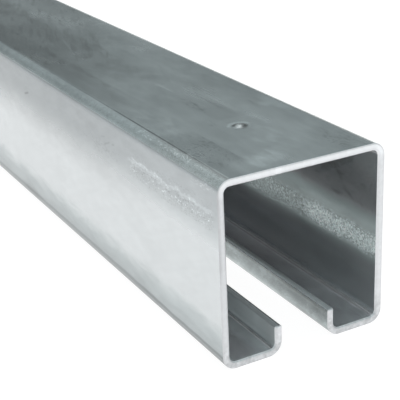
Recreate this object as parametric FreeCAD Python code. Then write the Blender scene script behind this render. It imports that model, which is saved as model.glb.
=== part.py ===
import FreeCAD, Part
import math
import os

# Monorail track: one straight length of cold-rolled, galvanised steel channel.
# The section is a square box left open along its underside, where both edges of
# the strip turn up into lips. A trolley runs inside on the two bottom flanges and
# its hanger passes down through the slot between the lips.
# Millimetres. X runs across the section, Y along the length and Z up. The origin
# is under the middle of the length, level with the underside of the flanges.

# Length as cut
length = 2000.0

# Section, measured over the outside of the steel
outer_width = 60.0
outer_height = 63.0
wall = 2.5

# Slot along the underside, and the lips on both sides of it
slot_width = 17.3
lip_height = 10.0

# The strip draws a little thin round each bend, so the two radii are set apart
inner_bend_radius = 2.0
outer_bend_radius = 4.7

# Slit edges of the strip, rounded over by the rolls at the tops of the lips
lip_edge_radius = 0.5

# Low round pip that stands up from the crown near the front end, just off the centreline
pip_diameter = 4.6
pip_height = 0.5
pip_from_end = 38.5
pip_off_centre = 0.9


def on_section(x, z, y):
    """A point of the section at the station y along the track."""
    return FreeCAD.Vector(x, y, z)


def bend(before, corner, after, radius):
    """The arc that turns a corner, with the points where it meets the two flats."""
    back = (before - corner).normalize()
    ahead = (after - corner).normalize()
    half_angle = back.getAngle(ahead) / 2.0
    setback = radius / math.tan(half_angle)
    inward = (back + ahead).normalize()
    start = corner + back * setback
    middle = corner + inward * (radius / math.sin(half_angle) - radius)
    end = corner + ahead * setback
    return start, Part.Arc(start, middle, end).toShape(), end


def rounded_outline(corners, y):
    """A closed wire round the corners, each turned by an arc of its own radius."""
    points = [on_section(x, z, y) for x, z, radius in corners]
    bends = []
    for index, (x, z, radius) in enumerate(corners):
        before = points[index - 1]
        after = points[(index + 1) % len(points)]
        bends.append(bend(before, points[index], after, radius))
    edges = []
    for index, (start, arc, end) in enumerate(bends):
        next_start = bends[(index + 1) % len(bends)][0]
        edges.append(arc)
        edges.append(Part.LineSegment(end, next_start).toShape())
    return Part.Wire(edges)


def section_corners():
    """The strip's outline: down the outside of one half, round its lip and back inside."""
    side = outer_width / 2.0
    slot_side = slot_width / 2.0
    right_half = [
        (side, outer_height, outer_bend_radius),
        (side, 0.0, outer_bend_radius),
        (slot_side, 0.0, outer_bend_radius),
        (slot_side, lip_height, lip_edge_radius),
        (slot_side + wall, lip_height, lip_edge_radius),
        (slot_side + wall, wall, inner_bend_radius),
        (side - wall, wall, inner_bend_radius),
        (side - wall, outer_height - wall, inner_bend_radius),
    ]
    left_half = [(-x, z, radius) for x, z, radius in reversed(right_half)]
    return right_half + left_half


def rolled_channel():
    """The whole channel, run out from its front cut end."""
    front = -length / 2.0
    section = Part.Face(rounded_outline(section_corners(), front))
    return section.extrude(FreeCAD.Vector(0.0, length, 0.0))


def crown_pip():
    """A shallow spherical cap on a short root that joins it to the crown."""
    edge = pip_diameter / 2.0
    root = wall / 2.0
    cap_radius = (edge ** 2 + pip_height ** 2) / (2.0 * pip_height)
    cap_centre = pip_height - cap_radius
    half_way = math.asin(edge / cap_radius) / 2.0
    shoulder_x = cap_radius * math.sin(half_way)
    shoulder_z = cap_centre + cap_radius * math.cos(half_way)
    rim = FreeCAD.Vector(edge, 0.0, 0.0)
    shoulder = FreeCAD.Vector(shoulder_x, 0.0, shoulder_z)
    top = FreeCAD.Vector(0.0, 0.0, pip_height)
    root_centre = FreeCAD.Vector(0.0, 0.0, -root)
    root_rim = FreeCAD.Vector(edge, 0.0, -root)
    profile = Part.Face(Part.Wire([
        Part.Arc(rim, shoulder, top).toShape(),
        Part.LineSegment(top, root_centre).toShape(),
        Part.LineSegment(root_centre, root_rim).toShape(),
        Part.LineSegment(root_rim, rim).toShape(),
    ]))
    pip = profile.revolve(FreeCAD.Vector(0.0, 0.0, 0.0), FreeCAD.Vector(0.0, 0.0, 1.0), 360.0)
    pip.translate(FreeCAD.Vector(pip_off_centre, pip_from_end - length / 2.0, outer_height))
    return pip


os.makedirs("parts", exist_ok=True)
track_profile = rolled_channel().fuse(crown_pip()).removeSplitter()
track_profile = track_profile.Solids[0]
track_profile.exportStep("parts/track_profile.step")
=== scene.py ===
import math

import bmesh
import bpy
from mathutils import Matrix, Vector


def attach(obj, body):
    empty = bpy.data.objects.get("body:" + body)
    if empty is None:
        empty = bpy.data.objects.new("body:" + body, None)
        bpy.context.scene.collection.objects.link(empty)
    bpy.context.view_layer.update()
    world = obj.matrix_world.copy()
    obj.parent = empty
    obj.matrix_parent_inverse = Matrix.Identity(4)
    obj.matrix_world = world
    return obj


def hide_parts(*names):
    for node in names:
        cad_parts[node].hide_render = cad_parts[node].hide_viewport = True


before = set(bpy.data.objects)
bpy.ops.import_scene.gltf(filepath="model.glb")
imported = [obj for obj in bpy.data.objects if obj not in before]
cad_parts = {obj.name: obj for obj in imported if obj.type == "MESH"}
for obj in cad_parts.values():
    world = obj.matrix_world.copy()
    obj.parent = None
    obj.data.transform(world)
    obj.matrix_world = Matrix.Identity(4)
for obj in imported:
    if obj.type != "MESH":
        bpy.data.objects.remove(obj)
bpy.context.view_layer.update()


# Camera. It stands a little above the front cut end and to its left, close to the
# steel, and looks down the length of the track, as the photographer did.
CAMERA_PLACE = (-0.16569, -1.24614, 0.17563)
RIGHTWARDS = (0.87459, -0.48297, -0.04280)
UPWARDS = (0.22170, 0.31984, 0.92117)
BACKWARDS = (-0.43121, -0.81513, 0.38680)

photo_camera = bpy.data.cameras.new("photo_camera")
photo_camera.sensor_width = 36.0
photo_camera.lens = 95.924
photo_camera.clip_start = 0.01
photo_camera.clip_end = 100.0
camera = bpy.data.objects.new("photo_camera", photo_camera)
turn = Matrix((RIGHTWARDS, UPWARDS, BACKWARDS)).transposed().to_4x4()
camera.matrix_world = Matrix.Translation(CAMERA_PLACE) @ turn
bpy.context.scene.collection.objects.link(camera)
bpy.context.scene.camera = camera
bpy.context.scene.view_settings.view_transform = "Standard"


# Light. A plain grey room with a white foot to its walls, lighter overhead, behind the
# camera and low on the left, and one large soft lamp high up, beyond the front end and
# a little to the right. The steel mirrors the same room that the camera sees.
ROOM_GREY = (0.87, 1.0, 1.02)
WHITE = (1.0, 1.0, 1.0)
TO_LAMP = Vector((0.25, 0.33, 0.91)).normalized()
LAMP_DISTANCE = 3.2
LAMP_SIDE = 2.4
LAMP_POWER = 26.0
LIT_PLACE = Vector((0.0, -0.9, 0.06))


def feed(tree, socket, value):
    """Links an output, or a node's first output, to an input socket, or sets the socket
    to a plain value."""
    if isinstance(value, bpy.types.Node):
        value = value.outputs[0]
    if isinstance(value, bpy.types.NodeSocket):
        tree.links.new(value, socket)
    elif isinstance(value, (tuple, list)) and socket.type == "RGBA" and len(value) == 3:
        socket.default_value = (*value, 1.0)
    else:
        socket.default_value = value


def node(tree, kind, feeds=None, **settings):
    """Adds a node, sets its own options and feeds its inputs, by name or by number."""
    made = tree.nodes.new(kind)
    for name, value in settings.items():
        setattr(made, name, value)
    for socket, value in (feeds or {}).items():
        feed(tree, made.inputs[socket], value)
    return made


def maths(tree, operation, *values):
    """One step of arithmetic on numbers or sockets."""
    return node(tree, "ShaderNodeMath", dict(enumerate(values)), operation=operation).outputs[0]


def parts_of(tree, vector):
    """The X, Y and Z of a vector."""
    return node(tree, "ShaderNodeSeparateXYZ", {0: vector}).outputs


def ramp(tree, value, low, high, start=0.0, end=1.0):
    """A soft step: start below low, end above high, an S curve between them."""
    feeds = {"Value": value, "From Min": low, "From Max": high, "To Min": start, "To Max": end}
    made = node(tree, "ShaderNodeMapRange", feeds, interpolation_type="SMOOTHSTEP")
    return made.outputs["Result"]


def until(tree, value, low, high):
    """A soft step down: 1 below low and 0 above high."""
    return ramp(tree, value, low, high, 1.0, 0.0)


def blend(tree, share, under, over, kind="MIX"):
    """One colour laid over another by a share of 0 to 1."""
    feeds = {0: share, 6: under, 7: over}
    return node(tree, "ShaderNodeMix", feeds, data_type="RGBA", blend_type=kind).outputs[2]


room = bpy.data.worlds.new("room")
bpy.context.scene.world = room
room.use_nodes = True
room.node_tree.nodes.clear()
tree = room.node_tree
along = parts_of(tree, node(tree, "ShaderNodeTexCoord").outputs["Generated"])
rising = maths(tree, "MULTIPLY_ADD", along["Z"], 0.70, 0.05)
low_on_left = ramp(tree, maths(tree, "MULTIPLY", along["X"], -1.0), 0.25, 0.45, 0.19, 0.40)
behind_camera = ramp(tree, along["Y"], -0.85, -0.25, 0.55, 0.0)
sky_level = maths(tree, "ADD", maths(tree, "MAXIMUM", rising, low_on_left), behind_camera)
sky_grey = blend(tree, 1.0, ROOM_GREY, sky_level, "MULTIPLY")
wall_foot = until(tree, along["Z"], 0.02, 0.13)
sky_feeds = {"Color": blend(tree, wall_foot, sky_grey, WHITE), "Strength": 1.0}
background = node(tree, "ShaderNodeBackground", sky_feeds)
node(tree, "ShaderNodeOutputWorld", {"Surface": background})

lamp_light = bpy.data.lights.new("soft_lamp", "AREA")
lamp_light.shape = "RECTANGLE"
lamp_light.size = LAMP_SIDE
lamp_light.size_y = LAMP_SIDE
lamp_light.energy = LAMP_POWER
lamp = bpy.data.objects.new("soft_lamp", lamp_light)
lamp.location = LIT_PLACE + LAMP_DISTANCE * TO_LAMP
lamp.rotation_euler = (-TO_LAMP).to_track_quat("-Z", "Y").to_euler()
bpy.context.scene.collection.objects.link(lamp)


# Floor. A light table: a sheet of white film, lit evenly from beneath, on which the
# track lies. Its glow leaves only a little of the track's shadow.
FLOOR_RADIUS = 40.0
FLOOR_DROP = 0.0001
FILM_WHITE = (0.14, 0.14, 0.14)
FILM_GLOW = 0.95
FIBRES_PER_METRE = 900.0

floor_mesh = bpy.data.meshes.new("floor")
disc = bmesh.new()
bmesh.ops.create_circle(disc, cap_ends=True, segments=96, radius=FLOOR_RADIUS)
bmesh.ops.translate(disc, vec=(0.0, 0.0, -FLOOR_DROP), verts=disc.verts)
disc.to_mesh(floor_mesh)
disc.free()
floor = bpy.data.objects.new("floor", floor_mesh)
bpy.context.scene.collection.objects.link(floor)

film = bpy.data.materials.new("white_film")
film.use_nodes = True
film.node_tree.nodes.clear()
tree = film.node_tree
film_place = node(tree, "ShaderNodeTexCoord").outputs["Object"]
fibre = node(tree, "ShaderNodeTexNoise", {"Vector": film_place, "Scale": FIBRES_PER_METRE})
fibre_tone = ramp(tree, fibre.outputs[0], 0.3, 0.7, 0.985, 1.0)
film_colour = blend(tree, 1.0, FILM_WHITE, fibre_tone, "MULTIPLY")
diffuse = node(tree, "ShaderNodeBsdfDiffuse", {"Color": film_colour})
glow = node(tree, "ShaderNodeEmission", {"Strength": FILM_GLOW})
lit_film = node(tree, "ShaderNodeAddShader", {0: diffuse, 1: glow})
node(tree, "ShaderNodeOutputMaterial", {"Surface": lit_film})
floor_mesh.materials.append(film)


# Track. One length of galvanised strip, cold-rolled into a box that is open below,
# with both edges of the strip turned up into lips. The ends are cut square and
# dressed with a file, a little more on the inside. A low pip stands on the crown.
LENGTH = 2.0
WIDTH = 0.060
HEIGHT = 0.063
WALL = 0.0025
SLOT = 0.0173
LIP = 0.0100
INNER_BEND = 0.0020
OUTER_BEND = 0.0047
LIP_EDGE = 0.0005
FILED_INSIDE = 0.00045
FILED_OUTSIDE = 0.00018
UNEVEN = 0.00007
SWELLS_PER_METRE = (30.0, 7.0, 30.0)
SWELL_SEED = 4
PIP_WIDTH = 0.0046
PIP_HEIGHT = 0.0005
PIP_FROM_END = 0.0385
PIP_OFF_CENTRE = 0.0009

# The ring at the pip's foot, in shares of the pip's radius and height.
RING_RADIUS = 1.12
RING_TIGHTNESS = 30.0
RING_DEPTH = 0.12

# How finely the section is divided, and the angle from which an edge stays sharp.
SECTION_CORNERS = 16
POINTS_ROUND_BEND = 9
FLAT_SPACING = 0.0050
CROWN_SPACING = 0.0008
SHARP_ANGLE = 0.6


def stations():
    """Places along the track where its section is set: close together at the filed
    ends and round the pip, further apart between them."""
    end_cuts = [0.0, FILED_OUTSIDE, FILED_INSIDE, 0.0009]
    places = set(end_cuts) | {LENGTH - cut for cut in end_cuts}
    for start, apart, steps in (
        (0.0015, 0.003, range(11)),
        (PIP_FROM_END, 0.00035, range(-12, 13)),
        (0.0435, 0.004, range(44)),
        (0.2265, 0.0104, range(170)),
    ):
        places |= {start + apart * step for step in steps}
    return sorted(place for place in places if place <= LENGTH)


def vector_of(tree, x=0.0, y=0.0, z=0.0):
    """A vector put together from its three parts."""
    return node(tree, "ShaderNodeCombineXYZ", {"X": x, "Y": y, "Z": z}).outputs[0]


def vector_maths(tree, operation, first, second):
    """One step of arithmetic on two vectors."""
    return node(tree, "ShaderNodeVectorMath", {0: first, 1: second}, operation=operation)


def both_of(tree, *masks):
    """Where all of these masks are."""
    result = masks[0]
    for mask in masks[1:]:
        result = maths(tree, "MULTIPLY", result, mask)
    return result


def picked(number, values):
    """The value that belongs to a corner's number."""
    choice = node(rolling, "GeometryNodeIndexSwitch", data_type="FLOAT")
    while len(choice.index_switch_items) < len(values):
        choice.index_switch_items.new()
    for socket, value in zip(list(choice.inputs), [number, *values]):
        feed(rolling, socket, value)
    return choice.outputs[0]


def kept(outline, kind, name, value):
    """Keeps a value on the points of the outline, to be read once it has been swept."""
    made = node(rolling, "GeometryNodeCaptureAttribute", domain="POINT")
    made.capture_items.new(kind, name)
    feed(rolling, made.inputs["Geometry"], outline)
    feed(rolling, made.inputs[name], value)
    return made.outputs["Geometry"], made.outputs[name]


rolling = bpy.data.node_groups.new("rolled_channel", "GeometryNodeTree")
rolling.is_modifier = True
for kind, names in (
    ("NodeSocketGeometry", ("Path",)),
    ("NodeSocketFloat", ("Width", "Height", "Wall", "Slot", "Lip", "Half length")),
    ("NodeSocketFloat", ("Inner bend", "Outer bend", "Lip edge")),
    ("NodeSocketFloat", ("Filed inside", "Filed outside", "Uneven")),
    ("NodeSocketFloat", ("Pip width", "Pip height")),
    ("NodeSocketVector", ("Pip place",)),
    ("NodeSocketInt", ("Seed",)),
    ("NodeSocketMaterial", ("Outer skin", "Inner skin", "Cut end", "Slit edge")),
):
    for name in names:
        rolling.interface.new_socket(name, in_out="INPUT", socket_type=kind)
rolling.interface.new_socket("Track", in_out="OUTPUT", socket_type="NodeSocketGeometry")
given = node(rolling, "NodeGroupInput").outputs

# The sixteen corners of the strip's outline, half of them worked out and the rest
# mirrored, joined up and each turned by its own radius.
half_width = maths(rolling, "DIVIDE", given["Width"], 2.0)
inside_width = maths(rolling, "SUBTRACT", half_width, given["Wall"])
slot_side = maths(rolling, "DIVIDE", given["Slot"], 2.0)
lip_inside = maths(rolling, "ADD", slot_side, given["Wall"])
inside_height = maths(rolling, "SUBTRACT", given["Height"], given["Wall"])
corners = (
    (half_width, given["Height"], given["Outer bend"]),
    (half_width, 0.0, given["Outer bend"]),
    (slot_side, 0.0, given["Outer bend"]),
    (slot_side, given["Lip"], given["Lip edge"]),
    (lip_inside, given["Lip"], given["Lip edge"]),
    (lip_inside, given["Wall"], given["Inner bend"]),
    (inside_width, given["Wall"], given["Inner bend"]),
    (inside_width, inside_height, given["Inner bend"]),
)
index = node(rolling, "GeometryNodeInputIndex").outputs[0]
on_left = maths(rolling, "GREATER_THAN", index, SECTION_CORNERS / 2 - 0.5)
from_last = maths(rolling, "SUBTRACT", SECTION_CORNERS - 1.0, index)
corner_number = maths(rolling, "MINIMUM", index, from_last)
side_sign = maths(rolling, "MULTIPLY_ADD", on_left, -2.0, 1.0)
right_x, corner_z, corner_radius = (picked(corner_number, column) for column in zip(*corners))
corner_x = maths(rolling, "MULTIPLY", right_x, side_sign)
corner_place = vector_of(rolling, x=corner_x, y=maths(rolling, "MULTIPLY", corner_z, -1.0))
row = node(rolling, "GeometryNodeMeshLine", {"Count": SECTION_CORNERS})
loop = node(rolling, "GeometryNodeMeshToCurve", {"Mesh": row})
closed = node(rolling, "GeometryNodeSetSplineCyclic", {"Geometry": loop, "Cyclic": True})
outline = node(
    rolling, "GeometryNodeSetPosition", {"Geometry": closed, "Position": corner_place}
)
faces_inside = maths(rolling, "GREATER_THAN", corner_number, 3.5)
outline, inside_share = kept(outline, "FLOAT", "Inside", faces_inside)
outline, bend_radius = kept(outline, "FLOAT", "Radius", corner_radius)
bent = node(
    rolling, "GeometryNodeFilletCurve",
    {"Curve": outline, "Radius": bend_radius, "Count": POINTS_ROUND_BEND}, mode="POLY",
)

# The flats are divided, most finely on the crown, where the pip comes up.
here = node(rolling, "GeometryNodeInputPosition").outputs[0]
next_point = node(rolling, "GeometryNodeOffsetPointInCurve", {"Point Index": index, "Offset": 1})
next_place = node(
    rolling, "GeometryNodeFieldAtIndex",
    {"Index": next_point.outputs["Point Index"], "Value": here},
    data_type="FLOAT_VECTOR", domain="POINT",
)
run = vector_maths(rolling, "DISTANCE", here, next_place).outputs["Value"]
crown_level = maths(rolling, "MULTIPLY", given["Height"], -1.0)
on_crown = maths(rolling, "COMPARE", parts_of(rolling, here)["Y"], crown_level, 0.00001)
finer = CROWN_SPACING - FLAT_SPACING
spacing = maths(rolling, "MULTIPLY_ADD", on_crown, finer, FLAT_SPACING)
cuts = maths(rolling, "FLOOR", maths(rolling, "DIVIDE", run, spacing))
divided = node(rolling, "GeometryNodeSubdivideCurve", {"Curve": bent, "Cuts": cuts})

# The section, with the way out of the steel kept all round it, is run along the path.
tangent = parts_of(rolling, node(rolling, "GeometryNodeInputTangent"))
way_out = vector_of(rolling, x=tangent["Y"], z=tangent["X"])
section, outward = kept(divided, "VECTOR", "Outward", way_out)
path = node(rolling, "GeometryNodeMeshToCurve", {"Mesh": given["Path"]})
swept = node(
    rolling, "GeometryNodeCurveToMesh",
    {"Curve": path, "Profile Curve": section, "Fill Caps": True},
)

# Points of the ends are drawn in by the file, and the flats are left a little uneven.
place = parts_of(rolling, here)
off_middle = maths(rolling, "ABSOLUTE", place["Y"])
from_end = maths(rolling, "SUBTRACT", given["Half length"], off_middle)
filing = node(
    rolling, "ShaderNodeMix",
    {0: inside_share, 2: given["Filed outside"], 3: given["Filed inside"]}, data_type="FLOAT",
)
filed = maths(rolling, "MAXIMUM", maths(rolling, "SUBTRACT", filing, from_end), 0.0)
swell_place = vector_maths(rolling, "MULTIPLY", here, SWELLS_PER_METRE)
swell = node(
    rolling, "ShaderNodeTexNoise",
    {"Vector": swell_place, "W": given["Seed"], "Scale": 1.0, "Detail": 1.0},
    noise_dimensions="4D",
)
uneven = maths(rolling, "MULTIPLY", swell, given["Uneven"])
drawn_in = maths(rolling, "MULTIPLY", maths(rolling, "ADD", filed, uneven), -1.0)
drawn_by = node(
    rolling, "ShaderNodeVectorMath", {0: outward, "Scale": drawn_in}, operation="SCALE"
)
dressed = node(rolling, "GeometryNodeSetPosition", {"Geometry": swept, "Offset": drawn_by})

# The pip: a shallow round cap, with the steel drawn down a hair round its foot.
flat_here = vector_maths(rolling, "MULTIPLY", here, (1.0, 1.0, 0.0))
from_pip = vector_maths(rolling, "DISTANCE", flat_here, given["Pip place"]).outputs["Value"]
share = maths(rolling, "DIVIDE", from_pip, maths(rolling, "DIVIDE", given["Pip width"], 2.0))
below_top = maths(rolling, "SUBTRACT", 1.0, maths(rolling, "MULTIPLY", share, share))
dome = maths(rolling, "MAXIMUM", below_top, 0.0)
off_ring = maths(rolling, "POWER", maths(rolling, "SUBTRACT", share, RING_RADIUS), 2.0)
ring = maths(rolling, "EXPONENT", maths(rolling, "MULTIPLY", off_ring, -RING_TIGHTNESS))
cap = maths(rolling, "MULTIPLY_ADD", ring, -RING_DEPTH, dome)
pip_rise = maths(rolling, "MULTIPLY", given["Pip height"], cap)
under_crown = maths(rolling, "SUBTRACT", given["Height"], 0.0004)
above_crown = maths(rolling, "GREATER_THAN", place["Z"], under_crown)
lift = vector_of(rolling, z=maths(rolling, "MULTIPLY", pip_rise, above_crown))
raised = node(rolling, "GeometryNodeSetPosition", {"Geometry": dressed, "Offset": lift})

# Finishes: outer skin, inner skin, the slit edges on the lips and the cut ends.
edge_angle = node(rolling, "GeometryNodeInputMeshEdgeAngle").outputs["Unsigned Angle"]
is_sharp = maths(rolling, "GREATER_THAN", edge_angle, SHARP_ANGLE)
finished = node(
    rolling, "GeometryNodeStoreNamedAttribute",
    {"Geometry": raised, "Name": "sharp_edge", "Value": is_sharp},
    data_type="BOOLEAN", domain="EDGE",
)
facing = parts_of(rolling, node(rolling, "GeometryNodeInputNormal"))
is_inside = maths(rolling, "GREATER_THAN", inside_share, 0.5)
is_end = both_of(
    rolling,
    maths(rolling, "GREATER_THAN", maths(rolling, "ABSOLUTE", facing["Y"]), 0.3),
    maths(rolling, "LESS_THAN", from_end, 0.001),
)
is_lip_top = both_of(
    rolling,
    maths(rolling, "GREATER_THAN", facing["Z"], 0.4),
    maths(rolling, "COMPARE", place["Z"], given["Lip"], 0.0006),
    maths(rolling, "LESS_THAN", maths(rolling, "ABSOLUTE", place["X"]), lip_inside),
)
for skin, choice in (
    ("Outer skin", True),
    ("Inner skin", is_inside),
    ("Slit edge", is_lip_top),
    ("Cut end", is_end),
):
    paint = {"Geometry": finished, "Selection": choice, "Material": given[skin]}
    finished = node(rolling, "GeometryNodeSetMaterial", paint)
smooth = node(rolling, "GeometryNodeSetShadeSmooth", {"Geometry": finished})
whole = node(rolling, "GeometryNodeRealizeInstances", {"Geometry": smooth})
node(rolling, "NodeGroupOutput", {"Track": whole})


# Zinc. Every finish of the track is made of the same few effects, each with named
# inputs: streaks left by the rolls, clouds of dull film, crystals, rub marks and worms.
FRONT = -LENGTH / 2.0


def effect(name, gives, **sizes):
    """An empty shader node group that reads a place, with numbers as its other inputs."""
    made = bpy.data.node_groups.new(name, "ShaderNodeTree")
    made.interface.new_socket("Place", in_out="INPUT", socket_type="NodeSocketVector")
    for title, value in sizes.items():
        socket = made.interface.new_socket(title, in_out="INPUT", socket_type="NodeSocketFloat")
        socket.default_value = value
    for title in gives:
        made.interface.new_socket(title, in_out="OUTPUT", socket_type="NodeSocketFloat")
    return made, node(made, "NodeGroupInput").outputs, node(made, "NodeGroupOutput").inputs


def scaled(tree, place, x, y, z):
    """A place measured in grains of x, y and z metres instead of in metres."""
    return vector_maths(tree, "DIVIDE", place, vector_of(tree, x, y, z)).outputs[0]


def noise(tree, place, shift, detail, rough=0.5, distortion=0.0):
    """Soft noise of about 0.2 to 0.8 with grains one unit across."""
    feeds = {"Vector": place, "W": shift, "Scale": 1.0, "Detail": detail}
    feeds.update({"Roughness": rough, "Distortion": distortion})
    return node(tree, "ShaderNodeTexNoise", feeds, noise_dimensions="4D").outputs[0]


streaks, takes, gives = effect("roll_streaks", ("Streaks",), Across=0.0008, Along=0.06, Shift=0.0)
lengthwise = scaled(streaks, takes["Place"], takes["Across"], takes["Along"], takes["Across"])
feed(streaks, gives["Streaks"], noise(streaks, lengthwise, takes["Shift"], 3.0, 0.6))

clouds, takes, gives = effect("dull_clouds", ("Clouds",), Size=0.02, Stretch=2.0, Shift=0.0)
long_size = maths(clouds, "MULTIPLY", takes["Size"], takes["Stretch"])
drifting = scaled(clouds, takes["Place"], takes["Size"], long_size, takes["Size"])
cloud_noise = noise(clouds, drifting, takes["Shift"], 2.5, 0.5, 0.6)
feed(clouds, gives["Clouds"], ramp(clouds, cloud_noise, 0.25, 0.75))

crystals, takes, gives = effect("zinc_crystals", ("Tone", "Speckle"), Size=0.0012)
crystal_place = scaled(crystals, takes["Place"], takes["Size"], takes["Size"], takes["Size"])
cell_feeds = {"Vector": crystal_place, "Scale": 1.0}
cells = node(crystals, "ShaderNodeTexVoronoi", cell_feeds, feature="F1")
cell_tone = node(crystals, "ShaderNodeSeparateColor", {0: cells.outputs["Color"]})
feed(crystals, gives["Tone"], cell_tone)
grain = noise(crystals, crystal_place, 7.0, 3.0, 0.7)
feed(crystals, gives["Speckle"], ramp(crystals, grain, 0.50, 0.66))

rubs, takes, gives = effect(
    "rub_marks", ("Marks",), Turn=0.6, Length=0.02, Width=0.0005, Scarce=0.6, Shift=0.0
)
turned = node(
    rubs, "ShaderNodeVectorRotate", {"Vector": takes["Place"], "Angle": takes["Turn"]},
    rotation_type="Z_AXIS",
)
slanting = scaled(rubs, turned.outputs[0], takes["Width"], takes["Length"], takes["Width"])
rub_noise = noise(rubs, slanting, takes["Shift"], 3.0, 0.5, 0.35)
rub_top = maths(rubs, "ADD", takes["Scarce"], 0.16)
feed(rubs, gives["Marks"], ramp(rubs, rub_noise, takes["Scarce"], rub_top))

worms, takes, gives = effect("worm_marks", ("Dark", "Pale"), Size=0.002, Stretch=1.6, Shift=0.0)
worm_length = maths(worms, "MULTIPLY", takes["Size"], takes["Stretch"])
worm_place = scaled(worms, takes["Place"], takes["Size"], worm_length, takes["Size"])
worm_noise = noise(worms, worm_place, takes["Shift"], 1.5, 0.5, 2.2)
feed(worms, gives["Dark"], until(worms, worm_noise, 0.34, 0.46))
feed(worms, gives["Pale"], ramp(worms, worm_noise, 0.56, 0.68))


def finish(name, metallic, roughness):
    """A new finish: its material, tree and shader, and the place it is read at."""
    made = bpy.data.materials.new(name)
    made.use_nodes = True
    tree = made.node_tree
    place = node(tree, "ShaderNodeTexCoord").outputs["Object"]
    shader = tree.nodes["Principled BSDF"]
    shader.inputs["Metallic"].default_value = metallic
    shader.inputs["Roughness"].default_value = roughness
    return made, tree, shader, place, parts_of(tree, place)


def surfaced(tree, shader, hue, tone, relief, depth):
    """Gives a finish its colour, which is a hue times a tone, and its relief."""
    feed(tree, shader.inputs["Base Color"], blend(tree, 1.0, hue, tone, "MULTIPLY"))
    bump = node(tree, "ShaderNodeBump", {"Height": relief, "Distance": depth})
    feed(tree, shader.inputs["Normal"], bump)


def use(tree, group, output, place, **takes):
    """One of the shared effects, set in a finish with its own values."""
    return node(tree, "ShaderNodeGroup", {"Place": place, **takes}, node_tree=group).outputs[output]


def centred(tree, value):
    """A pattern of 0 to 1 that swings about nought instead, to both sides."""
    return maths(tree, "SUBTRACT", value, 0.5)


def band(tree, value, low, high, soft):
    """1 between low and high, 0 outside them, with soft edges."""
    rise = ramp(tree, value, maths(tree, "SUBTRACT", low, soft), maths(tree, "ADD", low, soft))
    high_start = maths(tree, "SUBTRACT", high, soft)
    fall = until(tree, value, high_start, maths(tree, "ADD", high, soft))
    return maths(tree, "MULTIPLY", rise, fall)


def toned(tree, tone, mask, change):
    """A tone made lighter or darker by a share of itself where the mask is 1."""
    return maths(tree, "MULTIPLY", tone, maths(tree, "MULTIPLY_ADD", mask, change, 1.0))


def marked(tree, tone, *marks):
    """A tone with marks laid on in turn: each its change, then the masks it keeps to."""
    for change, *masks in marks:
        tone = toned(tree, tone, both_of(tree, *masks), change)
    return tone


def spot(tree, x, y, centre, reach):
    """A soft oval patch on a flat face, 1 in the middle and 0 from its edge outwards."""
    across = maths(tree, "DIVIDE", maths(tree, "SUBTRACT", x, centre[0]), reach[0])
    along = maths(tree, "DIVIDE", maths(tree, "SUBTRACT", y, centre[1]), reach[1])
    square = maths(tree, "MULTIPLY_ADD", across, across, maths(tree, "MULTIPLY", along, along))
    return until(tree, square, 0.0, 1.0)


def stroke(tree, x, y, start, end, width):
    """A thin straight mark on a flat face, with tapering ends."""
    reach = (end[0] - start[0], end[1] - start[1])
    length = math.hypot(*reach)
    step = (reach[0] / length, reach[1] / length)
    from_x = maths(tree, "SUBTRACT", x, start[0])
    from_y = maths(tree, "SUBTRACT", y, start[1])
    along = maths(tree, "MULTIPLY_ADD", from_x, step[0], maths(tree, "MULTIPLY", from_y, step[1]))
    across = maths(tree, "MULTIPLY_ADD", from_x, step[1], maths(tree, "MULTIPLY", from_y, -step[0]))
    thin = until(tree, maths(tree, "ABSOLUTE", across), 0.0, width)
    return maths(tree, "MULTIPLY", thin, band(tree, along, 0.0, length, 0.2 * length))


# Outside of the strip. The rolls have left a crease where the crown meets the left bend,
# darkened with painted shade, a duller band high on each side, a dark line low down and
# streaks everywhere.
# Pairs of numbers are the start and end, in metres, of a mark or of its soft edge.
ZINC = (0.675, 0.71, 0.715)
BEND_ZINC = (0.697, 0.712, 0.709)
SHADED_FOOT_ZINC = (0.653, 0.707, 0.718)
LIP_SIDE_ZINC = (0.63, 0.71, 0.71)
CLEAN_ZINC = (0.712, 0.738, 0.748)
DULL_ZINC = (0.700, 0.738, 0.756)
TOP_EDGE = (0.0603, 0.0607)
CROWN_EDGE = (0.0252, 0.0255)
BEND_EDGE = (0.0253, 0.0256)
MARKED_LENGTH = (0.055, 0.064)
outer_zinc, tree, shader, place, parts = finish("zinc_outside", metallic=0.92, roughness=0.26)
x, y, z = parts["X"], parts["Y"], parts["Z"]
sideways = maths(tree, "ABSOLUTE", x)
from_front = maths(tree, "SUBTRACT", y, FRONT)
near_front = until(tree, from_front, *MARKED_LENGTH)
on_top = ramp(tree, z, *TOP_EDGE)
on_sides = maths(tree, "SUBTRACT", 1.0, on_top)
on_crown = both_of(tree, on_top, until(tree, sideways, *CROWN_EDGE))
on_bend = both_of(tree, on_top, ramp(tree, sideways, *BEND_EDGE))
drift = centred(tree, noise(tree, scaled(tree, place, 0.05, 0.030, 0.05), 3.0, 4.0))
wandering_x = maths(tree, "MULTIPLY_ADD", drift, 0.0022, x)
wandering_z = maths(tree, "MULTIPLY_ADD", drift, 0.0060, z)
side_place = vector_of(tree, z, y, x)

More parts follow.
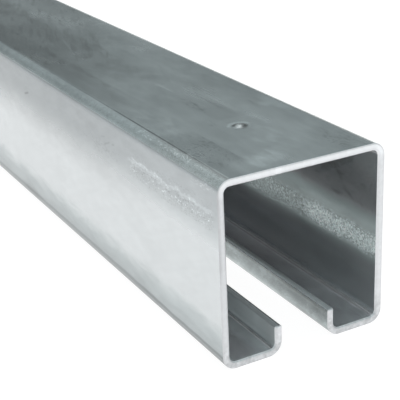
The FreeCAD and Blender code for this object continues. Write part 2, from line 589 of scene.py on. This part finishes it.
wide_clouds = use(tree, clouds, "Clouds", place, Size=0.016, Stretch=2.6, Shift=1.0)
small_clouds = use(tree, clouds, "Clouds", place, Size=0.0045, Stretch=1.8, Shift=2.0)
tiny_clouds = use(tree, clouds, "Clouds", place, Size=0.0012, Stretch=2.2, Shift=6.0)
fine_streaks = use(tree, streaks, "Streaks", place, Across=0.0007, Along=0.05, Shift=1.0)
broad_streaks = use(tree, streaks, "Streaks", place, Across=0.0032, Along=0.16, Shift=2.0)
dark_rubs = use(
    tree, rubs, "Marks", place, Turn=0.34, Length=0.014, Width=0.0020, Scarce=0.50, Shift=3.0
)
light_rubs = use(
    tree, rubs, "Marks", place, Turn=0.34, Length=0.018, Width=0.0014, Scarce=0.56, Shift=4.0
)
wipes = use(
    tree, rubs, "Marks", side_place,
    Turn=-0.42, Length=0.024, Width=0.0020, Scarce=0.42, Shift=5.0,
)
dark_worms = use(tree, worms, "Dark", place, Size=0.0017, Stretch=2.0, Shift=8.0)
small_worms = use(tree, worms, "Dark", place, Size=0.0010, Stretch=1.8, Shift=9.0)
pale_flecks = use(tree, worms, "Pale", place, Size=0.0009, Stretch=2.2, Shift=9.5)

tone = maths(tree, "MULTIPLY_ADD", wide_clouds, 0.15, 0.925)
tone = marked(
    tree, tone,
    (0.10, centred(tree, small_clouds)),
    (0.14, on_top, centred(tree, broad_streaks)),
)
cloudiness = maths(tree, "MULTIPLY_ADD", on_top, 0.55, 0.45)
tone = maths(tree, "MULTIPLY_ADD", maths(tree, "SUBTRACT", tone, 1.0), cloudiness, 1.0)
tone = marked(
    tree, tone,
    (0.03, on_top, centred(tree, fine_streaks)),
    (-0.10, on_crown),
    (-0.07, on_sides),
)

# On the crown: pale and dull patches, each at its own place across and along, with its
# own reach both ways. Most are broken up by clouds or by worm-like marks.
for across, along, reach_across, reach_along, change, *broken in (
    (0.0210, 0.006, 0.0090, 0.022, -0.26, small_clouds),
    (0.0200, 0.009, 0.0070, 0.018, -0.24, dark_worms),
    (0.0060, 0.004, 0.0140, 0.012, -0.08, wide_clouds),
    (0.0197, 0.054, 0.0022, 0.004, 0.22),
    (0.0168, 0.057, 0.0018, 0.006, -0.16, small_clouds),
    (0.0100, 0.043, 0.0030, 0.008, 0.10, small_clouds),
    (0.0030, 0.022, 0.0080, 0.018, 0.14, small_clouds),
    (-0.0055, 0.0100, 0.0042, 0.0080, 0.34, small_clouds),
    (-0.0115, 0.0080, 0.0042, 0.0075, 0.34, small_clouds),
    (-0.0090, 0.039, 0.0050, 0.016, -0.16, small_clouds),
    (-0.0060, 0.046, 0.0030, 0.005, -0.30, dark_worms),
    (-0.0200, 0.055, 0.0080, 0.022, 0.12, small_clouds),
    (0.0060, 0.062, 0.0020, 0.016, -0.16, small_clouds),
    (-0.0010, 0.066, 0.0024, 0.018, -0.30, dark_worms),
    (-0.0020, 0.120, 0.0080, 0.016, 0.10, small_clouds),
    (-0.0060, 0.134, 0.0026, 0.006, -0.18, small_clouds),
    (0.0025, 0.107, 0.0042, 0.006, -0.20, small_clouds),
    (0.0240, 0.075, 0.0120, 0.050, -0.10, wide_clouds),
    (-0.0060, 0.152, 0.0040, 0.007, -0.30, small_clouds),
    (0.0030, 0.163, 0.0050, 0.009, -0.26, small_clouds),
    (-0.0150, 0.137, 0.0030, 0.020, -0.20, small_clouds),
    (0.0120, 0.085, 0.0090, 0.018, -0.10),
    (0.0245, 0.053, 0.0045, 0.014, 0.26),
    (-0.0158, 0.108, 0.0014, 0.005, -0.16),
    (-0.0156, 0.123, 0.0012, 0.004, -0.14),
    (-0.0166, 0.150, 0.0020, 0.006, -0.18),
    (-0.0226, 0.151, 0.0016, 0.005, -0.16),
    (-0.0160, 0.162, 0.0016, 0.007, -0.14),
):
    patch = spot(tree, x, from_front, (across, along), (reach_across, reach_along))
    tone = marked(tree, tone, (change, on_crown, patch, *broken))

# Beyond the pip a dull smudge begins at a crisp edge and fades away from the front end.
SMUDGE = (-0.0030, 0.0072)
smudge = both_of(
    tree, on_crown, band(tree, wandering_x, *SMUDGE, 0.0016),
    ramp(tree, from_front, 0.0460, 0.0485), until(tree, from_front, 0.055, 0.095),
)
tone = marked(tree, tone, (-0.11, smudge))

# The crown's left strip is dull at the front end, and again from a hand's width on.
LEFT_STRIP = (-0.0265, -0.0142)
NEAR_STRIP = (-0.0265, -0.0205)
FAR_STRIP = (-0.0260, -0.0178)
strip = both_of(tree, on_crown, band(tree, wandering_x, *LEFT_STRIP, 0.0004))
strip_front = both_of(
    tree, strip, ramp(tree, from_front, 0.005, 0.016), until(tree, from_front, 0.028, 0.050)
)
near_strip = both_of(
    tree, on_crown, band(tree, x, *NEAR_STRIP, 0.0020), until(tree, from_front, 0.010, 0.022)
)
far_strip = both_of(tree, on_crown, band(tree, wandering_x, *FAR_STRIP, 0.0020))
tone = marked(
    tree, tone,
    (-0.24, strip_front, dark_worms),
    (-0.155, strip_front),
    (-0.22, near_strip),
    (-0.13, strip, ramp(tree, from_front, 0.076, 0.092)),
    (-0.10, far_strip, ramp(tree, from_front, 0.066, 0.100)),
)

# From there on the crown is brushed at a slant, and its left half grows darker further off.
brushed = both_of(tree, on_crown, ramp(tree, from_front, 0.055, 0.095))
left_half = both_of(tree, on_crown, until(tree, x, 0.0000, 0.0070))
tone = marked(
    tree, tone,
    (-0.05, brushed, dark_rubs),
    (0.04, brushed, light_rubs),
    (-0.25, left_half, ramp(tree, from_front, 0.102, 0.140)),
)

# Further off still it is smeared and scratched at a slant.
SMEAR_MIDDLE = 0.145
SMEAR_SLOPE = -0.36
from_smear = maths(tree, "SUBTRACT", from_front, SMEAR_MIDDLE)
slant = maths(tree, "MULTIPLY_ADD", from_smear, SMEAR_SLOPE, x)
smear = both_of(
    tree, on_crown, until(tree, slant, -0.003, 0.004), ramp(tree, from_front, 0.130, 0.165)
)
tone = marked(
    tree, tone,
    (-0.12, smear),
    (-0.14, smear, dark_rubs),
    (0.07, smear, light_rubs),
)
for start, end, width, change in (
    ((0.0010, 0.144), (0.0052, 0.153), 0.0007, -0.20),
    ((0.0050, 0.151), (0.0060, 0.172), 0.0008, -0.12),
    ((0.0065, 0.166), (0.0120, 0.186), 0.0020, -0.16),
    ((0.0022, 0.147), (0.0040, 0.160), 0.0008, 0.10),
    ((-0.0060, 0.166), (-0.0020, 0.184), 0.0009, 0.18),
    ((0.0052, 0.058), (0.0056, 0.075), 0.0003, -0.20),
    ((-0.0012, 0.059), (0.0002, 0.071), 0.0004, -0.22),
    ((0.0006, 0.086), (0.0003, 0.099), 0.0006, 0.18),
    ((0.0168, 0.056), (0.0180, 0.061), 0.0004, -0.18),
):
    scratch = stroke(tree, x, from_front, start, end, width)
    tone = marked(tree, tone, (change, on_crown, scratch))

# Round the pip, painted light and shade: the pip dimmed, with painted shade on its right side
# and on its front, where the lamp's highlight falls; a ring of painted shade round its foot,
# darkest on the side away from the front end; and beyond it, on that side, a pale edge that
# is a painted highlight. Each side is given as its direction across and along.
RIGHT_OF_PIP = (0.87, -0.48)
FRONT_OF_PIP = (0.35, -0.94)
pip_x = maths(tree, "SUBTRACT", x, PIP_OFF_CENTRE)
pip_y = maths(tree, "SUBTRACT", from_front, PIP_FROM_END)
pip_square = maths(tree, "MULTIPLY_ADD", pip_x, pip_x, maths(tree, "MULTIPLY", pip_y, pip_y))
pip_distance = maths(tree, "SQRT", pip_square)
pip_shaded_side, pip_dimmed_front = (
    maths(tree, "MULTIPLY_ADD", pip_x, across, maths(tree, "MULTIPLY", pip_y, along))
    for across, along in (RIGHT_OF_PIP, FRONT_OF_PIP)
)
pip_behind = ramp(tree, pip_y, -0.0004, 0.0016)
pip_shaded_side = ramp(tree, pip_shaded_side, 0.0000, 0.0010)
on_pip = both_of(tree, on_crown, until(tree, pip_distance, 0.0020, 0.0026))
pip_shade_ring = both_of(tree, on_crown, band(tree, pip_distance, 0.0014, 0.0026, 0.0003))
pip_edge_highlight = both_of(tree, on_crown, band(tree, pip_distance, 0.0031, 0.0043, 0.0005))
pip_dimmed_front = both_of(
    tree, on_crown, ramp(tree, pip_dimmed_front, 0.0009, 0.0016),
    until(tree, pip_distance, 0.0025, 0.0030),
)
tone = marked(
    tree, tone,
    (-0.22, on_pip),
    (-0.54, on_pip, pip_shaded_side),
    (-0.20, pip_shade_ring),
    (-0.62, pip_shade_ring, pip_behind),
    (-0.30, pip_dimmed_front),
    (0.30, pip_edge_highlight, pip_behind),
)

# Along the left bend: the crease, broken here and there, a real groove darkened with
# painted shade, and pale flecks on both sides.
CREASE = (-0.02600, -0.02545)
CREASE_EDGE = (-0.0253, -0.0245)
FLECKED_BEND = (-0.0282, -0.0262)
broken = noise(tree, scaled(tree, place, 1.0, 0.007, 1.0), 5.0, 3.0, 0.7)
crease_and_shade = both_of(
    tree, on_top, band(tree, x, *CREASE, 0.00015), ramp(tree, broken, 0.34, 0.50, 0.30, 1.0),
    ramp(tree, from_front, 0.006, 0.026, 0.2, 1.0), ramp(tree, from_front, 0.060, 0.100, 1.0, 0.55),
)
below_crease = both_of(
    tree, on_top, ramp(tree, x, -0.0276, -0.0262), until(tree, x, -0.0260, -0.0256),
    ramp(tree, from_front, 0.0, 0.080, 1.0, 0.1),
)
crease_edge = both_of(
    tree, on_top, band(tree, x, *CREASE_EDGE, 0.0002), band(tree, from_front, 0.024, 0.058, 0.006)
)
bend_front = both_of(tree, on_bend, until(tree, from_front, 0.030, 0.060))
bend_flecks = use(tree, worms, "Pale", place, Size=0.0021, Stretch=1.4, Shift=10.5)
bend_flecks = both_of(tree, on_top, band(tree, x, *FLECKED_BEND, 0.0005), bend_flecks)
low_on_bend = both_of(tree, on_bend, until(tree, z, 0.0612, 0.0622))
tone = marked(
    tree, tone,
    (-0.66, crease_and_shade),
    (-0.34, below_crease),
    (0.30, crease_edge, pale_flecks),
    (0.05, bend_front),
    (0.55, bend_flecks, band(tree, from_front, 0.012, 0.058, 0.008)),
    (0.20, bend_front, pale_flecks, ramp(tree, z, 0.0612, 0.0622)),
    (-0.18, bend_front, small_worms),
    (0.12, on_bend, centred(tree, tiny_clouds)),
    (-0.06, on_bend, ramp(tree, from_front, 0.06, 0.16)),
    (-0.10, on_bend, dark_worms),
    (0.08, low_on_bend),
)

# High on the sides: a dull band that fades downwards, further off at a lower place.
DULL_BAND = (0.0385, 0.0525)
FAR_DULL_BAND = (0.0320, 0.0430)
UNDER_BEND = (0.0596, 0.0602)
smears = use(tree, clouds, "Clouds", place, Size=0.0032, Stretch=3.5, Shift=13.0)
streaky_z = maths(tree, "MULTIPLY_ADD", centred(tree, smears), 0.0022, wandering_z)
dull_band = both_of(tree, on_sides, ramp(tree, streaky_z, *DULL_BAND))
further = ramp(tree, from_front, 0.0, 0.12)
under_bend = both_of(
    tree, on_sides, band(tree, z, *UNDER_BEND, 0.0004), ramp(tree, from_front, 0.040, 0.090)
)
tone = marked(
    tree, tone,
    (-0.26, dull_band),
    (-0.18, on_sides, further, ramp(tree, streaky_z, *FAR_DULL_BAND)),
    (0.02, on_sides, further, ramp(tree, wandering_z, 0.0480, 0.0530)),
    (0.09, dull_band, centred(tree, smears)),
    (0.02, dull_band, centred(tree, wipes)),
    (0.09, under_bend),
)

# Near the front end a thin pale scuff runs along it in waves, with a second, dotted one
# and a stain of small worm-like marks below.
SCUFF = (0.0513, 0.0526)
SCUFF_LOOP = (0.0504, 0.0509)
SECOND_SCUFF = (0.0486, 0.0491)
STAIN = (0.0458, 0.0512)
ABOVE_SCUFF = (0.0532, 0.0550)
ripple = centred(tree, noise(tree, scaled(tree, place, 1.0, 0.009, 1.0), 9.0, 3.0))
rippled_z = maths(tree, "MULTIPLY_ADD", ripple, 0.0034, z)
scuffed = both_of(tree, on_sides, near_front, ramp(tree, from_front, 0.001, 0.005))
tangled_z = maths(tree, "MULTIPLY_ADD", centred(tree, tiny_clouds), 0.0014, rippled_z)
scuff = both_of(tree, scuffed, band(tree, tangled_z, *SCUFF, 0.0003))
scuff_share = maths(tree, "MULTIPLY_ADD", ramp(tree, from_front, 0.034, 0.042), 0.06, 0.17)
scuff_flecks = use(tree, worms, "Pale", place, Size=0.0014, Stretch=1.6, Shift=14.5)
scuff_loop = both_of(
    tree, scuffed, band(tree, tangled_z, *SCUFF_LOOP, 0.0003),
    band(tree, from_front, 0.030, 0.058, 0.003),
)
second_scuff = both_of(tree, scuffed, band(tree, rippled_z, *SECOND_SCUFF, 0.0005))
stain = both_of(tree, scuffed, band(tree, rippled_z, *STAIN, 0.0008))
above_scuff = both_of(tree, scuffed, band(tree, rippled_z, *ABOVE_SCUFF, 0.0008))
top_corner = spot(tree, z, from_front, (0.0592, 0.010), (0.0016, 0.012))
past_stain = spot(tree, z, from_front, (0.0492, 0.084), (0.0040, 0.024))
tone = marked(
    tree, tone,
    (scuff_share, scuff),
    (0.24, scuff, scuff_flecks),
    (0.26, scuff_loop),
    (0.55, second_scuff, scuff_flecks),
    (-0.04, stain),
    (-0.26, stain, small_worms),
    (0.26, stain, scuff_flecks),
    (-0.16, above_scuff, small_worms),
    (0.36, on_sides, pale_flecks, top_corner),
    (-0.18, on_sides, dark_worms, past_stain),
)
for start, end, width, change in (
    ((0.0510, 0.1555), (0.0496, 0.1600), 0.0007, -0.42),
    ((0.0532, 0.0712), (0.0526, 0.0735), 0.0006, -0.18),
    ((0.0530, 0.0750), (0.0512, 0.0795), 0.0006, -0.18),
    ((0.0540, 0.0790), (0.0532, 0.0825), 0.0005, -0.10),
):
    dent = stroke(tree, z, from_front, start, end, width)
    tone = marked(tree, tone, (change, on_sides, dent))

# Lower down: a clean, bright body wiped at a slant, then a foot darkened with painted shade,
# for the floor's shadow that it mirrors, from a cloudy line down, with a dark line and a
# mottled bend below it, the bend also darkened with painted shade.
BODY = (0.0145, 0.0440)
SHADED_FOOT_EDGE = (0.0088, 0.0166)
LOW_SHADED_FOOT_EDGE = (0.0060, 0.0096)
SHADED_LOW_BEND_EDGE = (0.0032, 0.0042)
LINE_FOOT = 0.0040
body = both_of(tree, on_sides, band(tree, wandering_z, *BODY, 0.0035))
outer_face = ramp(tree, sideways, 0.0200, 0.0220)
cloudy_z = maths(tree, "MULTIPLY_ADD", centred(tree, smears), 0.0028, wandering_z)
shaded_foot = both_of(tree, on_sides, until(tree, cloudy_z, *SHADED_FOOT_EDGE))
far_shaded_foot = both_of(tree, shaded_foot, ramp(tree, from_front, 0.030, 0.060))
blotch = spot(tree, z, from_front, (0.0055, 0.164), (0.0024, 0.016))
line_share = maths(tree, "MAXIMUM", ramp(tree, from_front, 0.045, 0.070, 1.0, 0.75), blotch)
line_z = maths(tree, "MULTIPLY_ADD", ripple, 0.0010, z)
line_top = ramp(tree, from_front, 0.030, 0.060, 0.0053, 0.0057)
roll_line = both_of(
    tree, outer_face, band(tree, line_z, LINE_FOOT, line_top, 0.0006), line_share
)
shaded_low_bend = both_of(tree, until(tree, z, *SHADED_LOW_BEND_EDGE), outer_face)
tone = marked(
    tree, tone,
    (0.015, body, centred(tree, wipes)),
    (-0.21, shaded_foot),
    (-0.11, on_sides, until(tree, cloudy_z, *LOW_SHADED_FOOT_EDGE)),
    (-0.07, far_shaded_foot, outer_face),
    (-0.44, roll_line),
    (-0.16, on_sides, blotch),
    (-0.47, shaded_low_bend),
    (-0.20, shaded_low_bend, until(tree, from_front, 0.02, 0.06)),
    (0.24, shaded_low_bend, centred(tree, tiny_clouds)),
)

# On the slot side of the lips: dull and streaked, darkest along the top.
LIP_SIDE = (0.0128, 0.0134)
on_lip = both_of(tree, on_sides, until(tree, sideways, *LIP_SIDE))
on_left_lip = both_of(tree, on_lip, until(tree, x, -0.0010, 0.0))
lip_dull = both_of(
    tree, on_lip, ramp(tree, z, 0.0036, 0.0078), ramp(tree, from_front, 0.015, 0.035, 1.0, 0.5)
)
slot_bend = both_of(tree, on_lip, until(tree, z, 0.0032, 0.0044))
under_lip = both_of(
    tree, on_lip, until(tree, z, 0.0018, 0.0030), until(tree, from_front, 0.012, 0.034)
)
lip_rim = both_of(tree, on_lip, ramp(tree, z, 0.0088, 0.0092), ramp(tree, from_front, 0.003, 0.009))
lip_lines = both_of(
    tree, on_lip, ramp(tree, z, 0.0084, 0.0092), ramp(tree, fine_streaks, 0.40, 0.56)
)
tone = marked(
    tree, tone,
    (-0.10, on_lip),
    (0.30, on_lip, centred(tree, small_clouds)),
    (0.16, on_lip, pale_flecks),
    (-0.16, on_lip, small_worms),
    (-0.46, lip_dull),
    (0.14, slot_bend),
    (-0.26, slot_bend, until(tree, from_front, 0.022, 0.034)),
    (-0.18, under_lip),
    (-0.50, on_left_lip, ramp(tree, z, 0.0090, 0.0094)),
    (-0.20, lip_rim, ramp(tree, x, 0.0, 0.0010)),
    (-0.24, lip_lines),
)

# The hues of these parts, how much rougher some of them are, and the depth of the lines.
OUTER_ROUGHNESS = 0.20
OUTER_LINE_DEPTH = 0.0000004
CREASE_TIMES_DEEPER = -60.0
hue = ZINC
for mask, over in (
    (both_of(tree, body, maths(tree, "SUBTRACT", 1.0, on_lip)), CLEAN_ZINC),
    (dull_band, DULL_ZINC),
    (shaded_foot, SHADED_FOOT_ZINC),
    (maths(tree, "MULTIPLY", on_lip, 0.8), LIP_SIDE_ZINC),
    (bend_front, BEND_ZINC),
):
    hue = blend(tree, mask, hue, over)
top_lines = both_of(tree, on_top, fine_streaks)
roughness = OUTER_ROUGHNESS
for mask, more in ((wide_clouds, 0.06), (dull_band, 0.14), (top_lines, 0.04), (on_pip, 0.16)):
    roughness = maths(tree, "MULTIPLY_ADD", mask, more, roughness)
feed(tree, shader.inputs["Roughness"], roughness)
height = maths(tree, "MULTIPLY_ADD", crease_and_shade, CREASE_TIMES_DEEPER, top_lines)
surfaced(tree, shader, hue, tone, height, OUTER_LINE_DEPTH)

# Inside of the strip, in hues darker than the outside's: painted shade for the inside of
# the channel. Nothing has rubbed it, so a belt along each wall still shows the coarse grain
# of the zinc, lit up as a painted reflection with painted glints, strongest near the front
# end, and it is smudged above that.
SHADED_INNER_ZINC = (0.459, 0.470, 0.481)
SHADED_DEEP_ZINC = (0.455, 0.453, 0.464)
LIT_LIP_ZINC = (0.920, 0.960, 0.965)
SHADED_GRAINY_ZINC = (0.455, 0.512, 0.510)
SHADED_FLOOR_ZINC = (0.420, 0.438, 0.455)
GRAIN_AND_GLINT_BELT = (0.0230, 0.0312)
REFLECTION_BELT = (0.0236, 0.0300)
FAR_BELT = (0.0230, 0.0350)
PALE_BELT = (0.0330, 0.0388)
GREENISH_BELT = (0.0210, 0.0375)
INNER_METALLIC = 0.76
shaded_inner_zinc, tree, shader, place, parts = finish("zinc_inside_shaded", INNER_METALLIC, roughness=0.24)
x, y, z = parts["X"], parts["Y"], parts["Z"]
sideways = maths(tree, "ABSOLUTE", x)
from_front = maths(tree, "SUBTRACT", y, FRONT)
drift = centred(tree, noise(tree, scaled(tree, place, 0.05, 0.006, 0.05), 13.0, 3.0))
wandering_z = maths(tree, "MULTIPLY_ADD", drift, 0.0030, z)
wide_clouds = use(tree, clouds, "Clouds", place, Size=0.012, Stretch=3.0, Shift=11.0)
small_clouds = use(tree, clouds, "Clouds", place, Size=0.0035, Stretch=1.5, Shift=14.0)
fine_streaks = use(tree, streaks, "Streaks", place, Across=0.0006, Along=0.04, Shift=12.0)
grain = use(tree, crystals, "Tone", place, Size=0.0006)
speckle = use(tree, crystals, "Speckle", place, Size=0.0007)
fading = ramp(tree, from_front, 0.035, 0.110, 1.0, 0.50)
grain_and_glint_belt = both_of(tree, band(tree, wandering_z, *GRAIN_AND_GLINT_BELT, 0.0014), fading)
reflection_belt = band(tree, wandering_z, *REFLECTION_BELT, 0.0014)
reflection_share = ramp(tree, from_front, 0.034, 0.044, 0.46, 0.10)
far_belt = both_of(
    tree, band(tree, wandering_z, *FAR_BELT, 0.0012), ramp(tree, from_front, 0.034, 0.044)
)
tone = marked(
    tree, maths(tree, "MULTIPLY_ADD", wide_clouds, 0.10, 0.95),
    (0.04, centred(tree, fine_streaks)),
    # Lighter deeper in: painted light lifting the shade far inside the channel.
    (0.33, ramp(tree, from_front, 0.0, 0.09)),
    # The grain in the belt; its bright speckles are painted glints.
    (0.75, grain_and_glint_belt, centred(tree, grain)),
    (0.85, grain_and_glint_belt, speckle),
    # The belt brightened near the front end: a painted reflection of the glowing slot.
    (reflection_share, reflection_belt),
    (-0.18, far_belt),
    (0.22, band(tree, wandering_z, *PALE_BELT, 0.0012)),
)

# High on the walls: paler at the very end, painted light falling in at the open end, with
# dark smudges drawn out along the strip.
lit_high_front = both_of(tree, ramp(tree, z, 0.0420, 0.0500), until(tree, from_front, 0.002, 0.016))
smudge = noise(tree, scaled(tree, place, 0.05, 0.006, 0.0030), 15.0, 3.0)
smudge = both_of(
    tree, ramp(tree, smudge, 0.50, 0.64), ramp(tree, wandering_z, 0.0380, 0.0392),
    until(tree, from_front, 0.03, 0.06),
)
tone = marked(tree, tone, (0.26, lit_high_front), (-0.24, smudge))

# Down in the troughs the zinc is lit near the front end, painted light, and dark in the
# corners, painted shade; the lips' inner faces are painted pale and less metallic, a painted
# highlight for the light that falls on them.
on_floor = until(tree, z, 0.0030, 0.0036)
off_lip = ramp(tree, sideways, 0.0113, 0.0135)
floor_share = ramp(tree, from_front, 0.010, 0.050, 0.74, 0.04)
lit_floor = both_of(tree, until(tree, z, 0.0030, 0.0050), off_lip, floor_share)
dim_floor = both_of(
    tree, on_floor, ramp(tree, x, 0.0, 0.0010), band(tree, from_front, 0.010, 0.034, 0.006)
)
# Painted shade in the corners where the floor of the trough meets the wall.
corner = both_of(tree, until(tree, z, 0.0040, 0.0048), band(tree, sideways, 0.0262, 0.0269, 0.0002))
left_trough = both_of(
    tree, until(tree, x, -0.0010, 0.0), until(tree, z, 0.0030, 0.0050), off_lip,
    ramp(tree, from_front, -0.002, 0.010),
)
far_floor = both_of(tree, until(tree, z, 0.0030, 0.0060), ramp(tree, from_front, 0.060, 0.100))
lit_lip_wall = until(tree, sideways, 0.0113, 0.0120)
lip_share = ramp(tree, from_front, 0.002, 0.014, -0.26, 0.05)
tone = marked(
    tree, tone,
    (0.22, on_floor, centred(tree, small_clouds)),
    (1.0, lit_floor),
    (0.15, band(tree, z, 0.0040, 0.0100, 0.0025), off_lip),
    (-0.05, dim_floor),
    (-0.50, corner, ramp(tree, from_front, 0.0, 0.014)),
    (-0.28, left_trough),
    (lip_share, lit_lip_wall),
)

INNER_ROUGHNESS = 0.18
INNER_LINE_DEPTH = 0.000004
hue = SHADED_INNER_ZINC
for mask, over in (
    (ramp(tree, from_front, 0.02, 0.09), SHADED_DEEP_ZINC),
    (band(tree, wandering_z, *GREENISH_BELT, 0.0016), SHADED_GRAINY_ZINC),
    (far_floor, SHADED_FLOOR_ZINC),
    (lit_lip_wall, LIT_LIP_ZINC),
):
    hue = blend(tree, mask, hue, over)
lip_metallic = maths(tree, "MULTIPLY_ADD", lit_lip_wall, -0.35, INNER_METALLIC)
feed(tree, shader.inputs["Metallic"], lip_metallic)
roughness = INNER_ROUGHNESS
for mask, more in ((wide_clouds, 0.06), (grain_and_glint_belt, 0.08)):
    roughness = maths(tree, "MULTIPLY_ADD", mask, more, roughness)
feed(tree, shader.inputs["Roughness"], roughness)
raised_grain = maths(tree, "MULTIPLY", both_of(tree, grain_and_glint_belt, speckle), 5.0)
height = maths(tree, "MULTIPLY_ADD", fine_streaks, 0.25, raised_grain)
surfaced(tree, shader, hue, tone, height, INNER_LINE_DEPTH)

# Cut ends. Bare steel, cropped and then filed, pale and a little mottled, with painted shade
# along the bottom and a painted highlight along the top.
CUT_STEEL = (0.744, 0.742, 0.756)
FILE_MARK_DEPTH = 0.00001
cut_steel, tree, shader, place, parts = finish("cut_end", metallic=0.6, roughness=0.48)
x, z = parts["X"], parts["Z"]
mottle = use(tree, clouds, "Clouds", place, Size=0.0014, Stretch=1.0, Shift=21.0)
file_marks = use(
    tree, rubs, "Marks", place, Turn=0.2, Length=0.003, Width=0.00025, Scarce=0.5, Shift=22.0
)

# How deep a point lies in the thickness of the wall, from its inside surface outwards.
from_middle = maths(tree, "ABSOLUTE", maths(tree, "SUBTRACT", z, HEIGHT / 2.0))
past_x, past_z = (
    maths(tree, "MAXIMUM", maths(tree, "SUBTRACT", off_centre, side / 2.0 - WALL - INNER_BEND), 0.0)
    for off_centre, side in ((maths(tree, "ABSOLUTE", x), WIDTH), (from_middle, HEIGHT))
)
past_square = maths(tree, "MULTIPLY_ADD", past_x, past_x, maths(tree, "MULTIPLY", past_z, past_z))
into_wall = maths(tree, "SUBTRACT", maths(tree, "SQRT", past_square), INNER_BEND)
outer_rim = both_of(
    tree, ramp(tree, into_wall, 0.0018, 0.0022), ramp(tree, z, 0.052, 0.060, 0.35, 1.0)
)
tone = marked(
    tree, maths(tree, "MULTIPLY_ADD", mottle, 0.09, 0.955),
    (0.26, until(tree, z, 0.004, 0.012), maths(tree, "SUBTRACT", mottle, 0.7)),
    (-0.22, outer_rim),
    (0.09, ramp(tree, x, 0.0260, 0.0275), ramp(tree, z, 0.006, 0.012)),
    # Darker along the bottom: painted shade.
    (-0.07, until(tree, z, 0.0030, 0.0050)),
    (0.09, band(tree, x, -0.0101, -0.0080, 0.0003), ramp(tree, z, 0.003, 0.006)),
    (-0.03, file_marks),
    # Lighter along the top: painted highlight.
    (0.20, ramp(tree, z, 0.056, 0.061)),
    (-0.05, band(tree, into_wall, 0.0005, 0.0009, 0.0001)),
    (-0.12, until(tree, x, -0.0294, -0.0288), ramp(tree, z, 0.028, 0.036)),
)
feed(tree, shader.inputs["Roughness"], maths(tree, "MULTIPLY_ADD", mottle, 0.10, 0.43))
surfaced(tree, shader, CUT_STEEL, tone, file_marks, FILE_MARK_DEPTH)

# Slit edges. The tops of the lips, where the strip was slit, are darker and lined.
SLIT_STEEL = (0.74, 0.765, 0.775)
SLIT_LINE_DEPTH = 0.00002
slit_steel, tree, shader, place, parts = finish("slit_edge", metallic=0.6, roughness=0.4)
x = parts["X"]
from_front = maths(tree, "SUBTRACT", parts["Y"], FRONT)
lines = use(tree, streaks, "Streaks", place, Across=0.0004, Along=0.05, Shift=31.0)
slot_edge = until(tree, maths(tree, "ABSOLUTE", x), 0.0094, 0.0098)
on_right = maths(tree, "GREATER_THAN", x, 0.0)
off_edge = both_of(
    tree, on_right, ramp(tree, x, 0.0094, 0.0100), ramp(tree, from_front, 0.008, 0.045)
)
tone = marked(
    tree, maths(tree, "MULTIPLY_ADD", lines, 0.8, 0.66),
    (-0.50, slot_edge, maths(tree, "SUBTRACT", 1.0, on_right)),
    (0.14, slot_edge, on_right, ramp(tree, from_front, 0.010, 0.045)),
    (-0.36, off_edge),
    (-0.26, until(tree, x, -0.0102, -0.0096)),
)
surfaced(tree, shader, SLIT_STEEL, tone, lines, SLIT_LINE_DEPTH)

# The track is rolled along a path with a point at each station, and made a plain mesh.
path_mesh = bpy.data.meshes.new("rolling_path")
path_points = [(0.0, place - LENGTH / 2.0, 0.0) for place in stations()]
path_mesh.from_pydata(path_points, [(i, i + 1) for i in range(len(path_points) - 1)], [])
path_object = bpy.data.objects.new("rolling_path", path_mesh)
bpy.context.scene.collection.objects.link(path_object)
roller = path_object.modifiers.new("rolled_channel", "NODES")
roller.node_group = rolling
settings = {
    "Width": WIDTH,
    "Height": HEIGHT,
    "Wall": WALL,
    "Slot": SLOT,
    "Lip": LIP,
    "Inner bend": INNER_BEND,
    "Outer bend": OUTER_BEND,
    "Lip edge": LIP_EDGE,
    "Filed inside": FILED_INSIDE,
    "Filed outside": FILED_OUTSIDE,
    "Uneven": UNEVEN,
    "Pip width": PIP_WIDTH,
    "Pip height": PIP_HEIGHT,
    "Pip place": (PIP_OFF_CENTRE, PIP_FROM_END - LENGTH / 2.0, 0.0),
    "Half length": LENGTH / 2.0,
    "Seed": SWELL_SEED,
    "Outer skin": outer_zinc,
    "Inner skin": shaded_inner_zinc,
    "Cut end": cut_steel,
    "Slit edge": slit_steel,
}
for item in rolling.interface.items_tree:
    if item.item_type == "SOCKET" and item.name in settings:
        roller[item.identifier] = settings[item.name]

depsgraph = bpy.context.evaluated_depsgraph_get()
rolled = path_object.evaluated_get(depsgraph)
track_mesh = bpy.data.meshes.new_from_object(rolled, depsgraph=depsgraph)
bpy.data.objects.remove(path_object)
track_mesh.name = "track"
track = bpy.data.objects.new("track", track_mesh)
bpy.context.scene.collection.objects.link(track)
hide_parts("track_profile")
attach(track, "root")
